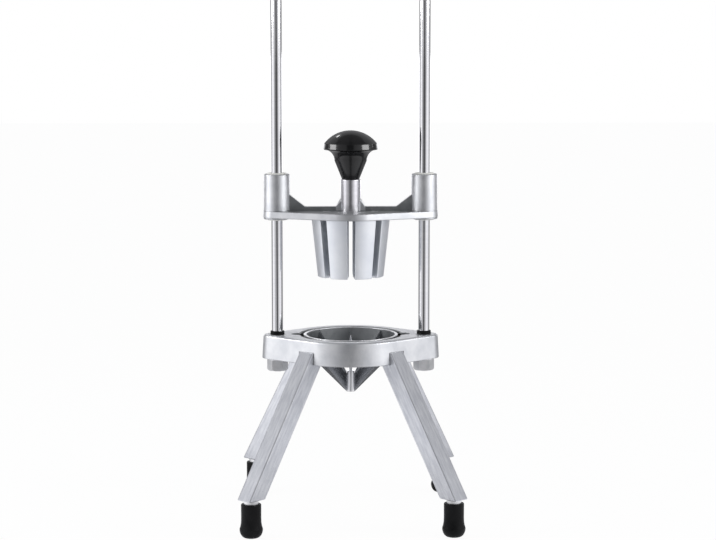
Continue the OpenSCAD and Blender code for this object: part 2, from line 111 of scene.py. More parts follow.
def turned(degrees):
    return Matrix.Rotation(math.radians(degrees), 3, "Z")


def soften(bm, width, segments=3, steeper=35, where=None):
    # rounds the edges sharper than an angle, where a test of their middle says so
    chosen = []
    for edge in bm.edges:
        if len(edge.link_faces) == 2 and math.degrees(edge.calc_face_angle(0)) > steeper:
            middle = (edge.verts[0].co + edge.verts[1].co) / 2
            if where is None or where(middle):
                chosen.append(edge)
    bmesh.ops.bevel(bm, geom=chosen, offset=width, offset_type="OFFSET", segments=segments,
                    profile=0.5, affect="EDGES", clamp_overlap=True, material=-1)


def combine(bm, tool, how="DIFFERENCE"):
    # cuts a block with a tool, or joins the two, and gives back the result
    pair = []
    for part in (bm, tool):
        bmesh.ops.recalc_face_normals(part, faces=part.faces)
        mesh = bpy.data.meshes.new("blank")
        part.to_mesh(mesh)
        part.free()
        pair.append(bpy.data.objects.new("blank", mesh))
        bpy.context.scene.collection.objects.link(pair[-1])
    cut = pair[0].modifiers.new("cut", "BOOLEAN")
    cut.operation, cut.solver, cut.object = how, "EXACT", pair[1]
    result = bmesh.new()
    result.from_object(pair[0], bpy.context.evaluated_depsgraph_get())
    for obj in pair:
        mesh = obj.data
        bpy.data.objects.remove(obj)
        bpy.data.meshes.remove(mesh)
    bmesh.ops.remove_doubles(result, verts=result.verts, dist=1e-3)
    return result


def finish(bm, name, body, material, replaced=(), sharp=28):
    # makes the block an object in metres that rides a body in place of these nodes
    bmesh.ops.remove_doubles(bm, verts=bm.verts, dist=1e-4)
    bmesh.ops.recalc_face_normals(bm, faces=bm.faces)
    bmesh.ops.scale(bm, vec=(mm, mm, mm), verts=bm.verts)
    mesh = bpy.data.meshes.new(name)
    bm.to_mesh(mesh)
    bm.free()
    mesh.shade_smooth()
    mesh.set_sharp_from_angle(angle=math.radians(sharp))
    mesh.materials.append(material)
    obj = bpy.data.objects.new(name, mesh)
    bpy.context.scene.collection.objects.link(obj)
    flat = obj.modifiers.new("flatFaces", "WEIGHTED_NORMAL")
    flat.mode, flat.weight, flat.keep_sharp = "FACE_AREA", 60, True
    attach(obj, body)
    if replaced:
        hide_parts(*replaced)
    return obj


def refinish(obj, material, chosen):
    # another finish for the faces that a test of their middle and their normal picks
    obj.data.materials.append(material)
    for face in obj.data.polygons:
        if chosen(face.center / mm, face.normal):
            face.material_index = 1


# Material helpers


def put(tree, kind, **values):
    # a node with its sockets or settings filled in by name
    node = tree.nodes.new("ShaderNode" + kind)
    for key, value in values.items():
        if key in node.inputs:
            node.inputs[key].default_value = value
        else:
            setattr(node, key, value)
    return node


def effect(name, inputs, outputs):
    # an empty node group with its sockets; an input's start value says which kind it is
    tree = bpy.data.node_groups.new(name, "ShaderNodeTree")
    for label, start in inputs.items():
        kind = "NodeSocketVector" if isinstance(start, tuple) else "NodeSocketFloat"
        socket = tree.interface.new_socket(label, in_out="INPUT", socket_type=kind)
        socket.default_value = start
    for label in outputs:
        tree.interface.new_socket(label, in_out="OUTPUT", socket_type="NodeSocketFloat")
    return tree, tree.nodes.new("NodeGroupInput"), tree.nodes.new("NodeGroupOutput")


def sandGrain():
    # sand-cast or blasted skin: a fine height and a broad cloudy tone
    tree, given, out = effect("sandGrain", {"Vector": (0.0, 0.0, 0.0), "Grain": 700.0,
                                            "Cloud": 60.0}, ("Height", "Tone"))
    fine = put(tree, "TexNoise", Detail=5.0, Roughness=0.62)
    pits = put(tree, "TexVoronoi", feature="SMOOTH_F1", Smoothness=0.6)
    broad = put(tree, "TexNoise", Detail=3.0, Roughness=0.55)
    half = put(tree, "Math", operation="MULTIPLY")
    half.inputs[1].default_value = 0.55
    mix = put(tree, "Math", operation="MULTIPLY_ADD")
    mix.inputs[1].default_value = 0.35
    for node in (fine, pits, broad):
        tree.links.new(given.outputs["Vector"], node.inputs["Vector"])
    tree.links.new(given.outputs["Grain"], fine.inputs["Scale"])
    tree.links.new(given.outputs["Grain"], half.inputs[0])
    tree.links.new(half.outputs[0], pits.inputs["Scale"])
    tree.links.new(given.outputs["Cloud"], broad.inputs["Scale"])
    tree.links.new(pits.outputs["Distance"], mix.inputs[0])
    tree.links.new(fine.outputs["Fac"], mix.inputs[2])
    tree.links.new(mix.outputs[0], out.inputs["Height"])
    tree.links.new(broad.outputs["Fac"], out.inputs["Tone"])
    return tree


def drawnLines():
    # fine lines of a brushed, drawn or turned finish, long on one axis of the pattern
    tree, given, out = effect("drawnLines", {"Vector": (0.0, 0.0, 0.0), "Stretch": (1.0, 1.0, 1.0),
                                             "Lines": 400.0}, ("Height", "Tone"))
    turn = put(tree, "VectorMath", operation="MULTIPLY")
    fine = put(tree, "TexNoise", Detail=4.0, Roughness=0.7)
    wide = put(tree, "TexNoise", Detail=2.0, Roughness=0.5)
    fifth = put(tree, "Math", operation="MULTIPLY")
    fifth.inputs[1].default_value = 0.16
    tree.links.new(given.outputs["Vector"], turn.inputs[0])
    tree.links.new(given.outputs["Stretch"], turn.inputs[1])
    tree.links.new(given.outputs["Lines"], fine.inputs["Scale"])
    tree.links.new(given.outputs["Lines"], fifth.inputs[0])
    tree.links.new(fifth.outputs[0], wide.inputs["Scale"])
    for node in (fine, wide):
        tree.links.new(turn.outputs[0], node.inputs["Vector"])
    tree.links.new(fine.outputs["Fac"], out.inputs["Height"])
    tree.links.new(wide.outputs["Fac"], out.inputs["Tone"])
    return tree


def edgeLightAndShade():
    # mask of the edges where a colour is painted, broken up a little: a dark colour is painted
    # shade along edges and in corners, a pale one is a painted highlight
    tree, given, out = effect("edgeLightAndShade", {"Vector": (0.0, 0.0, 0.0), "Width": 0.0008, "Gain": 6.0},
                              ("Mask",))
    rounded = put(tree, "Bevel", samples=4)
    flat = put(tree, "NewGeometry")
    dot = put(tree, "VectorMath", operation="DOT_PRODUCT")
    away = put(tree, "Math", operation="SUBTRACT", use_clamp=True)
    away.inputs[0].default_value = 1.0
    breakUp = put(tree, "TexNoise", Scale=220.0, Detail=3.0)
    patchy = put(tree, "Math", operation="MULTIPLY")
    gain = put(tree, "Math", operation="MULTIPLY", use_clamp=True)
    tree.links.new(given.outputs["Width"], rounded.inputs["Radius"])
    tree.links.new(rounded.outputs["Normal"], dot.inputs[0])
    tree.links.new(flat.outputs["Normal"], dot.inputs[1])
    tree.links.new(dot.outputs["Value"], away.inputs[1])
    tree.links.new(given.outputs["Vector"], breakUp.inputs["Vector"])
    tree.links.new(away.outputs[0], patchy.inputs[0])
    tree.links.new(breakUp.outputs["Fac"], patchy.inputs[1])
    tree.links.new(patchy.outputs[0], gain.inputs[0])
    tree.links.new(given.outputs["Gain"], gain.inputs[1])
    tree.links.new(gain.outputs[0], out.inputs["Mask"])
    return tree


effects = {"grain": sandGrain(), "lines": drawnLines(), "edgePaint": edgeLightAndShade()}


def ramp(tree, source, dark, light, low=0.35, high=0.65):
    # two colours over a mask
    node = put(tree, "ValToRGB")
    first, last = node.color_ramp.elements
    first.position, last.position = low, high
    first.color, last.color = (*dark, 1), (*light, 1)
    tree.links.new(source, node.inputs["Fac"])
    return node.outputs["Color"]


def spread(tree, source, low, high):
    # a pattern value brought to a span, such as a roughness
    node = put(tree, "MapRange")
    node.inputs["From Min"].default_value, node.inputs["From Max"].default_value = 0.3, 0.7
    node.inputs["To Min"].default_value, node.inputs["To Max"].default_value = low, high
    tree.links.new(source, node.inputs["Value"])
    return node.outputs["Result"]


def surface(name, look):
    # one finish: a pattern group drives colour, roughness and bump of a Principled BSDF
    material = bpy.data.materials.new(name)
    material.use_nodes = True
    tree = material.node_tree
    shader = tree.nodes["Principled BSDF"]
    for label, value in look.get("sockets", {}).items():
        shader.inputs[label].default_value = value
    place = put(tree, "TexCoord").outputs[look.get("coordinates", "Object")]
    pattern = tree.nodes.new("ShaderNodeGroup")
    pattern.node_tree = effects[look["pattern"]]
    tree.links.new(place, pattern.inputs["Vector"])
    for label, value in look["set"].items():
        pattern.inputs[label].default_value = value
    colour = ramp(tree, pattern.outputs["Tone"], look["dark"], look["light"])
    # the edge colour paints light or shade along the edges: painted highlight where it is pale,
    # painted shade where it is dark
    if "edgePaintColour" in look:
        edgePaint = tree.nodes.new("ShaderNodeGroup")
        edgePaint.node_tree = effects["edgePaint"]
        edgePaint.inputs["Width"].default_value, edgePaint.inputs["Gain"].default_value = look["edgePaint"]
        tree.links.new(place, edgePaint.inputs["Vector"])
        blend = put(tree, "Mix", data_type="RGBA")
        tree.links.new(edgePaint.outputs["Mask"], blend.inputs["Factor"])
        tree.links.new(colour, blend.inputs[6])
        blend.inputs[7].default_value = (*look["edgePaintColour"], 1)
        colour = blend.outputs[2]
    tree.links.new(colour, shader.inputs["Base Color"])
    rough = spread(tree, pattern.outputs["Height"], *look["rough"])
    tree.links.new(rough, shader.inputs["Roughness"])
    bump = put(tree, "Bump", Strength=look["bump"][0], Distance=look["bump"][1])
    tree.links.new(pattern.outputs["Height"], bump.inputs["Height"])
    tree.links.new(bump.outputs["Normal"], shader.inputs["Normal"])
    return material


finishes = {
    "castAluminium": {"pattern": "grain", "set": {"Grain": 900.0, "Cloud": 55.0},
                      "dark": (0.66, 0.675, 0.70), "light": (0.80, 0.81, 0.825),
                      "rough": (0.30, 0.42), "bump": (0.35, 0.00012),
                      # the dark edge colour is painted shade along the edges and in the corners
                      "edgePaint": (0.0012, 18.0), "edgePaintColour": (0.20, 0.205, 0.215),
                      "sockets": {"Metallic": 1.0}},
    # a darker copy of the cast finish: painted shade on the recessed and shaded faces that it is
    # given to
    "shadedAluminium": {"pattern": "grain", "set": {"Grain": 700.0, "Cloud": 45.0},
                     "dark": (0.28, 0.292, 0.30), "light": (0.38, 0.392, 0.40),
                     "rough": (0.36, 0.48), "bump": (0.4, 0.00014),
                     "sockets": {"Metallic": 1.0}},
    "ringAluminium": {"pattern": "lines", "set": {"Stretch": (0.05, 0.05, 1.0), "Lines": 1500.0},
                      "dark": (0.62, 0.63, 0.65), "light": (0.76, 0.77, 0.78),
                      "rough": (0.24, 0.36), "bump": (0.15, 0.00008),
                      "sockets": {"Metallic": 1.0}},
    "fingerAluminium": {"pattern": "grain", "set": {"Grain": 1300.0, "Cloud": 40.0},
                        "dark": (0.76, 0.785, 0.83), "light": (0.84, 0.86, 0.89),
                        "rough": (0.32, 0.42), "bump": (0.2, 0.00008),
                        # the pale edge colour is a painted highlight along the edges
                        "edgePaint": (0.0009, 4.0), "edgePaintColour": (0.93, 0.94, 0.95),
                        "sockets": {"Metallic": 0.9}},
    "barAluminium": {"pattern": "lines", "coordinates": "UV",
                     "set": {"Stretch": (0.14, 1.0, 1.0), "Lines": 2600.0},
                     "dark": (0.63, 0.645, 0.685), "light": (0.77, 0.785, 0.815),
                     "rough": (0.26, 0.40), "bump": (0.28, 0.0001),
                     # the pale edge colour is a painted highlight along the edges
                     "edgePaint": (0.0009, 4.0), "edgePaintColour": (0.88, 0.89, 0.90),
                     "sockets": {"Metallic": 1.0}},
    "polishedRod": {"pattern": "lines", "set": {"Stretch": (0.04, 0.04, 1.0), "Lines": 1800.0},
                    "dark": (0.79, 0.79, 0.81), "light": (0.83, 0.83, 0.84),
                    "rough": (0.09, 0.115), "bump": (0.01, 0.00001),
                    "sockets": {"Metallic": 1.0}},
    "postAluminium": {"pattern": "lines", "set": {"Stretch": (0.04, 0.04, 1.0), "Lines": 1400.0},
                      "dark": (0.76, 0.75, 0.78), "light": (0.82, 0.81, 0.84),
                      "rough": (0.24, 0.26), "bump": (0.01, 0.000005),
                      "sockets": {"Metallic": 1.0}},
    "bladeSteel": {"pattern": "lines", "coordinates": "UV",
                   "set": {"Stretch": (0.03, 1.0, 1.0), "Lines": 1800.0},
                   "dark": (0.36, 0.37, 0.39), "light": (0.50, 0.51, 0.53),
                   "rough": (0.20, 0.32), "bump": (0.12, 0.00006),
                   "sockets": {"Metallic": 1.0}},
    "fastenerSteel": {"pattern": "grain", "set": {"Grain": 500.0, "Cloud": 90.0},
                      "dark": (0.74, 0.75, 0.76), "light": (0.88, 0.88, 0.89),
                      "rough": (0.30, 0.38), "bump": (0.08, 0.00005),
                      "sockets": {"Metallic": 1.0}},
    "blackRubber": {"pattern": "grain", "set": {"Grain": 1100.0, "Cloud": 70.0},
                    "dark": (0.003, 0.003, 0.0035), "light": (0.008, 0.008, 0.0085),
                    "rough": (0.34, 0.50), "bump": (0.25, 0.00008),
                    "sockets": {"Specular IOR Level": 0.13}},
    "glossPlastic": {"pattern": "grain", "set": {"Grain": 300.0, "Cloud": 35.0},
                     "dark": (0.003, 0.003, 0.0035), "light": (0.007, 0.007, 0.0075),
                     "rough": (0.09, 0.15), "bump": (0.03, 0.00004),
                     "sockets": {"IOR": 1.5, "Specular IOR Level": 0.5}},
    "whiteNylon": {"pattern": "grain", "set": {"Grain": 800.0, "Cloud": 60.0},
                   "dark": (0.74, 0.73, 0.69), "light": (0.84, 0.83, 0.79),
                   "rough": (0.38, 0.5), "bump": (0.1, 0.00005), "sockets": {}},
    "turnedBrass": {"pattern": "lines", "set": {"Stretch": (0.05, 0.05, 1.0), "Lines": 1500.0},
                    "dark": (0.62, 0.46, 0.18), "light": (0.80, 0.64, 0.30),
                    "rough": (0.20, 0.32), "bump": (0.1, 0.00005),
                    "sockets": {"Metallic": 1.0}},
}
made = {name: surface(name, look) for name, look in finishes.items()}
print("finishes:", ", ".join(made))

# Base casting, opening and pockets

base = {"deck": 183.0, "under": 159.4, "middleR": 63.0, "earR": 15.2, "rodX": 73.0, "draft": 1.4,
        "topRound": 2.0, "lowRound": 0.8, "openingR": 51.0, "mouthBevel": 0.8, "ledgeR": 45.5,
        "ledgeZ": 164.8, "notchZ": 174.0, "notchInX": 44.0, "lugX": 52.5, "notchR": 6.5,
        "pocketR": 55.0, "pocketPlay": 0.3, "shadeMargin": 1.2, "toolOver": 5.0, "pocketUnder": 8.0}
leg = {"side": 18.0, "topZ": 171.4, "topR": 52.6, "lowZ": 36.6, "lowR": 138.03, "arris": 1.5,
       "endRound": 1.4, "topRound": 1.8, "screwR": 58.6, "screwHole": 4.55, "screwZ": 152.4,
       "drillZ": 100.0, "trimZ": 190.0}
corners = ("back_right", "back_left", "front_left", "front_right")


def waisted(bm, size, low, high):
    # the plan of base and head: a round middle drawn out to an ear at each rod
    middleR, earR, draft = size["middleR"], size["earR"], size["draft"]
    rounds = [(0, 0, middleR, middleR - draft)]
    rounds += [(side * size["rodX"], 0, earR, earR - draft) for side in (-1, 1)]
    hull(bm, rounds, low, high)


def cornerTurn(corner):
    return turned(45 + 90 * corner)


def bar(bm, low, high, play=0.0):
    # a leg bar on the +X side, leaning out as it goes down
    slope = (leg["lowR"] - leg["topR"]) / (leg["topZ"] - leg["lowZ"])
    half = leg["side"] / 2 * math.sqrt(1 + slope * slope) + play
    block = bmesh.ops.create_cube(bm, size=1.0)["verts"]
    bmesh.ops.scale(bm, vec=(2 * half, leg["side"] + 2 * play, high - low), verts=block)
    bmesh.ops.translate(bm, vec=(0, 0, (low + high) / 2), verts=block)
    shear = Matrix(((1, 0, -slope, leg["topR"] + leg["topZ"] * slope), (0, 1, 0, 0), (0, 0, 1, 0),
                    (0, 0, 0, 1)))
    bmesh.ops.transform(bm, matrix=shear, verts=block)


def baseCasting():
    bm = bmesh.new()
    waisted(bm, base, base["under"], base["deck"])
    soften(bm, base["topRound"], 4, 60, lambda p: p.z > base["deck"] - 0.1)
    soften(bm, base["lowRound"], 2, 60, lambda p: p.z < base["under"] + 0.1)
    over, bevel, rim = base["toolOver"], base["mouthBevel"], base["openingR"]
    top, low = base["deck"] + over, base["under"] - over
    tool = bmesh.new()
    spin(tool, [(0, low), (base["ledgeR"], low), (base["ledgeR"], base["ledgeZ"]),
                (rim, base["ledgeZ"]), (rim, base["deck"] - bevel), (rim + bevel + over, top),
                (0, top)], steps=128)
    bm = combine(bm, tool)
    r = base["notchR"]
    for side in (-1, 1):
        tool = bmesh.new()
        hull(tool, [(side * base["lugX"], 0, r, r), (side * base["notchInX"], 0, r, r)],
             base["notchZ"], top, 48)
        bm = combine(bm, tool)
    for corner in range(4):
        tool = bmesh.new()
        bar(tool, base["under"] - base["pocketUnder"], leg["topZ"], base["pocketPlay"])
        keepBehind(tool, (base["pocketR"], 0, 0), (-1, 0, 0))
        bmesh.ops.rotate(tool, cent=(0, 0, 0), matrix=cornerTurn(corner), verts=tool.verts)
        bm = combine(bm, tool)
    casting = finish(bm, "baseCasting", "base", made["castAluminium"],
                     ("base_frame",))
    # faces inside the opening, the notches and the leg pockets take the darker copy: painted shade
    inside = base["lugX"] + base["notchR"] + base["shadeMargin"]
    refinish(casting, made["shadedAluminium"], lambda p, normal: (
        math.hypot(p.x, p.y) < inside and base["under"] + 1 < p.z < base["deck"] - 0.3))
    return casting


def grainUv(bm, along):
    # the pattern runs along the bar, whichever way its faces look
    layer = bm.loops.layers.uv.new("grain")
    across = Vector((0, 0, 1)).cross(along).normalized()
    other = along.cross(across).normalized()
    for face in bm.faces:
        for loop in face.loops:
            p = loop.vert.co * mm
            loop[layer].uv = (p.dot(along), p.dot(across) + p.dot(other))


def legBar(corner):
    bm = bmesh.new()
    bar(bm, leg["lowZ"], leg["topZ"])
    soften(bm, leg["arris"], 4, 60, lambda p: leg["lowZ"] + 1 < p.z < leg["topZ"] - 1)
    soften(bm, leg["endRound"], 3, 50, lambda p: p.z < leg["lowZ"] + 0.1)
    soften(bm, leg["topRound"], 4, 50, lambda p: p.z > leg["topZ"] - 0.1 and p.x > leg["topR"])
    tool = bmesh.new()
    r, low, high = base["pocketR"] + base["pocketPlay"], base["under"], leg["trimZ"]
    spin(tool, [(0, low), (r, low), (r, high), (0, high)])
    bm = combine(bm, tool)
    tool = bmesh.new()
    r, low, high = leg["screwHole"], leg["drillZ"], leg["screwZ"]
    spin(tool, [(0, low), (r, low), (r, high), (0, high)], centre=(leg["screwR"], 0), steps=48)
    bm = combine(bm, tool)
    turn = cornerTurn(corner)
    bmesh.ops.rotate(bm, cent=(0, 0, 0), matrix=turn, verts=bm.verts)
    lean = Vector((leg["lowR"] - leg["topR"], 0, leg["lowZ"] - leg["topZ"])).normalized()
    grainUv(bm, turn @ lean)
    node = "leg_" + corners[corner]
    return finish(bm, node + "_bar", "base", made["barAluminium"], (node,))


baseCasting()
for corner in range(4):
    legBar(corner)
print("base and legs made")

# Feet and rubber bumpers

foot = {"high": 33.0, "topR": 9.75, "wideR": 11.3, "wideZ": 8.5, "soleR": 5.5, "rimRound": 0.8,
        "flank": [(11.05, 9.4), (10.4, 11.5), (9.85, 15.0), (9.7, 19.5)], "axis": 97.6}
bumper = {"r": 7.0, "bore": 5.56, "high": 3.5, "round": 0.6}


def rubberFoot(corner):
    bm = bmesh.new()
    sole = [(foot["soleR"] + (foot["wideR"] - foot["soleR"]) * math.sin(math.radians(a)),
             foot["wideZ"] * (1 - math.cos(math.radians(a)))) for a in range(0, 91, 9)]
    outline = [(0, 0)] + sole + foot["flank"] + [(foot["topR"], foot["high"]), (0, foot["high"])]
    out = cornerTurn(corner) @ Vector((1, 0, 0))
    centre = [math.copysign(foot["axis"], way) for way in (out.x, out.y)]
    spin(bm, outline, centre, 72)
    soften(bm, foot["rimRound"], 3, 60, lambda p: p.z > foot["high"] - 0.1)
    node = "foot_" + corners[corner]
    return finish(bm, node + "_rubber", "base", made["blackRubber"], (node,),
                  sharp=32)


def rubberBumper(side, node):
    bm = bmesh.new()
    bore, r, low, high = bumper["bore"], bumper["r"], base["deck"], base["deck"] + bumper["high"]
    spin(bm, [(bore, low), (r, low), (r, high), (bore, high)], (side * base["rodX"], 0), 72)
    soften(bm, bumper["round"], 4, 60, lambda p: p.z > high - 0.1)
    return finish(bm, node + "_ring", "base", made["blackRubber"], (node,))


for corner in range(4):
    rubberFoot(corner)
rubberBumper(-1, "bumper_left")
rubberBumper(1, "bumper_right")
print("feet and bumpers made")

# Guide rods

rod = {"r": 5.5, "low": 147.55, "top": 515.0, "footBevel": 0.7, "tipBevel": 1.5, "tipRound": 0.5}


def guideRod(side, node):
    bm = bmesh.new()
    r, low, top, bevel, tip = rod["r"], rod["low"], rod["top"], rod["footBevel"], rod["tipBevel"]
    spin(bm, [(0, low), (r - bevel, low), (r, low + bevel), (r, top - tip), (r - tip, top),
              (0, top)], (side * base["rodX"], 0), 96)
    soften(bm, rod["tipRound"], 3, 35, lambda p: p.z > top - tip - 0.1)
    return finish(bm, node + "_bar", "base", made["polishedRod"], (node,))


guideRod(-1, "guide_rod_left")
guideRod(1, "guide_rod_right")
print("rods made")

# Blade ring, blades and hub

ring = {"bore": 44.0, "outer": 47.0, "under": 164.8, "lip": 0.5, "lugX": 52.5, "lugInX": 50.2,
        "lugR": 5.0, "lugZ": 174.0, "lugThick": 5.0, "lugRound": 0.5}
blade = {"thick": 1.2, "foot": 120.8, "high": 17.9, "outR": 45.9, "inR": 4.2, "edge": 2.2,
         "edgeThick": 0.16}
hub = {"r": 5.4, "low": 125.0, "top": 146.3, "tipRound": 1.5, "topRound": 0.6}


def bladeRing():
    bm = bmesh.new()
    spin(bm, [(ring["bore"], ring["under"]), (ring["outer"], ring["under"]),
              (ring["outer"], base["deck"]), (ring["bore"], base["deck"])], steps=144)
    soften(bm, ring["lip"], 2, 60, lambda p: p.z > base["deck"] - 0.1)
    r, low, high = ring["lugR"], ring["lugZ"], ring["lugZ"] + ring["lugThick"]
    for side in (-1, 1):
        hull(bm, [(side * ring["lugX"], 0, r, r), (side * ring["lugInX"], 0, r, r)], low, high, 48)
    soften(bm, ring["lugRound"], 2, 60,
           lambda p: abs(p.x) > ring["outer"] + 0.3 and abs(p.z - high) < 0.1)
    band = finish(bm, "bladeRing", "base", made["ringAluminium"],
                  ("blade_ring",))
    # the lugs under the deck and the bore wall take the darker copy: painted shade
    refinish(band, made["shadedAluminium"], lambda p, normal: (
        abs(p.x) > ring["outer"] and p.z < base["deck"] - 1
        or math.hypot(p.x, p.y) < ring["bore"] + 0.1 and abs(normal.z) < 0.1))
    return band


def bladePlate(index):
    bm = bmesh.new()
    low, high = blade["foot"], blade["foot"] + blade["high"]
    inR, outR, bore = blade["inR"], blade["outR"], ring["bore"]
    plate(bm, [(inR, low + inR), (bore, low + bore), (outR, low + bore), (outR, high + bore),
               (bore, high + bore), (inR, high + inR)], blade["thick"])
    bmesh.ops.bisect_plane(bm, geom=bm.verts[:] + bm.edges[:] + bm.faces[:],
                           plane_co=(0, 0, high - blade["edge"]), plane_no=(-1, 0, 1))
    keen = [v for v in bm.verts
            if v.co.z - min(v.co.x, bore) > high - 0.1 and v.co.x < bore + 0.1]
    bmesh.ops.scale(bm, vec=(1, blade["edgeThick"] / blade["thick"], 1), verts=keen)
    turn = turned(45 * (index - 1))
    bmesh.ops.rotate(bm, cent=(0, 0, 0), matrix=turn, verts=bm.verts)
    grainUv(bm, turn @ Vector((1, 0, 1)).normalized())
    node = "blade_%d" % index
    return finish(bm, node + "_ground", "base", made["bladeSteel"], (node,),
                  sharp=6)


def bladeHub():
    bm = bmesh.new()
    spin(bm, [(0, hub["low"]), (hub["r"], hub["low"]), (hub["r"], hub["top"]), (0, hub["top"])],
         steps=64)
    soften(bm, hub["tipRound"], 4, 60, lambda p: p.z < hub["low"] + 0.1)
    soften(bm, hub["topRound"], 3, 60, lambda p: p.z > hub["top"] - 0.1)
    return finish(bm, "bladeHub", "base", made["polishedRod"], ("blade_hub",))


bladeRing()
for index in range(1, 9):
    bladePlate(index)
bladeHub()
print("ring, blades and hub made")

# Pusher head: plate, bosses, web and handle post

head = {"rodX": 73.0, "under": 299.9, "plate": 6.8, "middleR": 43.0, "earR": 13.6, "draft": 0.3,
        "plateRound": 0.7, "bossR": 13.1, "bossDraft": 0.4, "bossLow": 298.4, "bossHigh": 343.0,
        "bossRound": 1.1, "bossBevel": 0.5, "bore": 7.62, "boreLow": 280.0, "boreHigh": 360.0,
        "webThick": 6.0, "webTop": 310.7, "webBite": 1.5, "gussetRise": 12.5, "gussetRun": 14.8,
        "flareRise": 11.1, "flareRun": 4.5, "webRound": 0.6, "flareRound": 2.3, "postR": 10.0,
        "postTop": 337.7, "postRound": 0.7, "postSink": 0.5, "screwCircle": 26.0,
        "screwSinkR": 4.45, "screwSink": 3.2, "toolOver": 2.0}


def headCasting():
    bm = bmesh.new()
    low, high = head["under"], head["under"] + head["plate"]
    waisted(bm, head, low, high)
    soften(bm, head["plateRound"], 3, 60)
    web = bmesh.new()
    bite, top, flare = head["webBite"], head["webTop"], head["postR"] + head["flareRun"]
    end = head["rodX"] - head["bossR"] + bite
    half = [(end, high - 1), (end, top + head["gussetRise"]), (end - bite - head["gussetRun"], top),
            (flare, top), (head["postR"] - bite, top + head["flareRise"])]
    plate(web, half + [(-x, z) for x, z in reversed(half)], head["webThick"])
    atPost = flare - 0.1
    soften(web, head["flareRound"], 5, 30, lambda p: p.z > top + 1 and abs(p.x) < atPost)
    soften(web, head["webRound"], 3, 30, lambda p: p.z > top - 1 and abs(p.x) > atPost)
    for side in (-1, 1):
        bmesh.ops.bisect_plane(web, geom=web.verts[:] + web.edges[:] + web.faces[:],
                               plane_co=(side * (atPost + 0.2), 0, 0), plane_no=(1, 0, 0))
    bm = combine(bm, web, "UNION")
    r, bevel, bossLow, crown = head["bossR"], head["bossBevel"], head["bossLow"], head["bossHigh"]
    for side in (-1, 1):
        boss = bmesh.new()
        spin(boss, [(0, bossLow), (r - bevel, bossLow), (r, bossLow + bevel),
                    (r - head["bossDraft"], crown), (0, crown)], (side * head["rodX"], 0), 112)
        soften(boss, head["bossRound"], 4, 60, lambda p: p.z > crown - 0.1)
        bm = combine(bm, boss, "UNION")
    r, boreLow, boreHigh = head["bore"], head["boreLow"], head["boreHigh"]
    for side in (-1, 1):
        tool = bmesh.new()
        spin(tool, [(0, boreLow), (r, boreLow), (r, boreHigh), (0, boreHigh)],
             (side * head["rodX"], 0), 64)
        bm = combine(bm, tool)
    tool = bmesh.new()
    sink, over, r = high - head["screwSink"], high + head["toolOver"], head["screwSinkR"]
    for i in range(8):
        a = math.radians(22.5 + 45 * i)
        spin(tool, [(0, sink), (r, sink), (r, over), (0, over)],
             (head["screwCircle"] * math.cos(a), head["screwCircle"] * math.sin(a)), 40)
    bm = combine(bm, tool)
    casting = finish(bm, "headCasting", "head", made["castAluminium"],
                     ("head_casting",))
    # the plate top and the web faces beside the flares take the darker copy: painted shade
    refinish(casting, made["shadedAluminium"], lambda p, normal: (
        normal.z > 0.99 and abs(p.z - high) < 0.1
        or abs(normal.y) > 0.9 and p.z > high and atPost < abs(p.x) < end))
    return casting


def handlePost():
    bm = bmesh.new()
    r, low, top = head["postR"], head["under"] + head["plate"] - head["postSink"], head["postTop"]
    spin(bm, [(0, low), (r, low), (r, top), (0, top)])
    soften(bm, head["postRound"], 3, 60, lambda p: p.z > top - 0.1)
    return finish(bm, "handlePost", "head", made["postAluminium"])


headCasting()
handlePost()
print("head made")

# Pusher fingers

finger = {"low": 241.4, "high": 299.9, "lowR": 32.8, "topR": 39.1, "halfOuter": 11.2, "noseR": 9.0,
          "noseHalf": 1.6, "noseRound": 0.6, "middleR": 20.0, "edgeRound": 1.7, "frame": 2.6,
          "step": 0.35, "recess": 0.85, "upperFrame": 0.5}


def pusherFinger(index):
    bm = bmesh.new()
    low, high, middleR = finger["low"], finger["high"], finger["middleR"]
    lowR, topR, noseR = finger["lowR"], finger["topR"], finger["noseR"]
    bmesh.ops.create_cone(bm, cap_ends=True, segments=192, radius1=lowR, radius2=topR,
                          depth=high - low, matrix=Matrix.Translation((0, 0, (low + high) / 2)))
    wallX = math.sqrt(topR ** 2 - finger["halfOuter"] ** 2)
    run = Vector((wallX - noseR, finger["halfOuter"] - finger["noseHalf"], 0)).normalized()
    keepBehind(bm, (noseR, 0, 0), (-1, 0, 0))
    for side in (-1, 1):
        keepBehind(bm, (noseR, side * finger["noseHalf"], 0), (-run.y, side * run.x, 0))
    bmesh.ops.recalc_face_normals(bm, faces=bm.faces)
    soften(bm, finger["edgeRound"], 4, 25, lambda p: p.x > middleR and p.z < high - 0.1)
    soften(bm, finger["noseRound"], 2, 60, lambda p: p.x < middleR and p.z < high - 0.1)
    for side in (-1, 1):
        out = Vector((-run.y, side * run.x, 0))
        wall = max((f for f in bm.faces if f.normal.dot(out) > 0.999), key=lambda f: f.calc_area())
        bmesh.ops.inset_region(bm, faces=[wall], thickness=finger["frame"], depth=0)
        for v in wall.verts:
            if v.co.z > high - finger["frame"] - 1:
                taper = (topR - lowR) / (high - low) if v.co.x > middleR else 0
                rise = high - finger["upperFrame"] - v.co.z
                v.co += Vector((run.x * taper * rise, side * run.y * taper * rise, rise))
        bmesh.ops.inset_region(bm, faces=[wall], thickness=finger["step"],
                               depth=-finger["recess"])
    bmesh.ops.rotate(bm, cent=(0, 0, 0), verts=bm.verts, matrix=turned(45 * (index - 0.5)))
    node = "pusher_finger_%d" % index
    return finish(bm, node + "_cast", "head", made["fingerAluminium"],
                  (node,))


for index in range(1, 9):
    pusherFinger(index)
print("fingers made")

# Knob

knobShape = {"foot": 337.7, "neckLowR": 8.35, "neckR": 8.75, "neckZ": 0.5, "creaseR": 16.0,
             "creaseZ": 18.4, "rimLowR": 26.4, "rimLowZ": 29.4, "rimR": 27.2, "rimZ": 30.4,
             "rimTopR": 26.4, "rimTopZ": 35.6, "domeFootR": 26.1, "domeSteps": 14, "top": 48.3,
             "rimRound": 0.45}


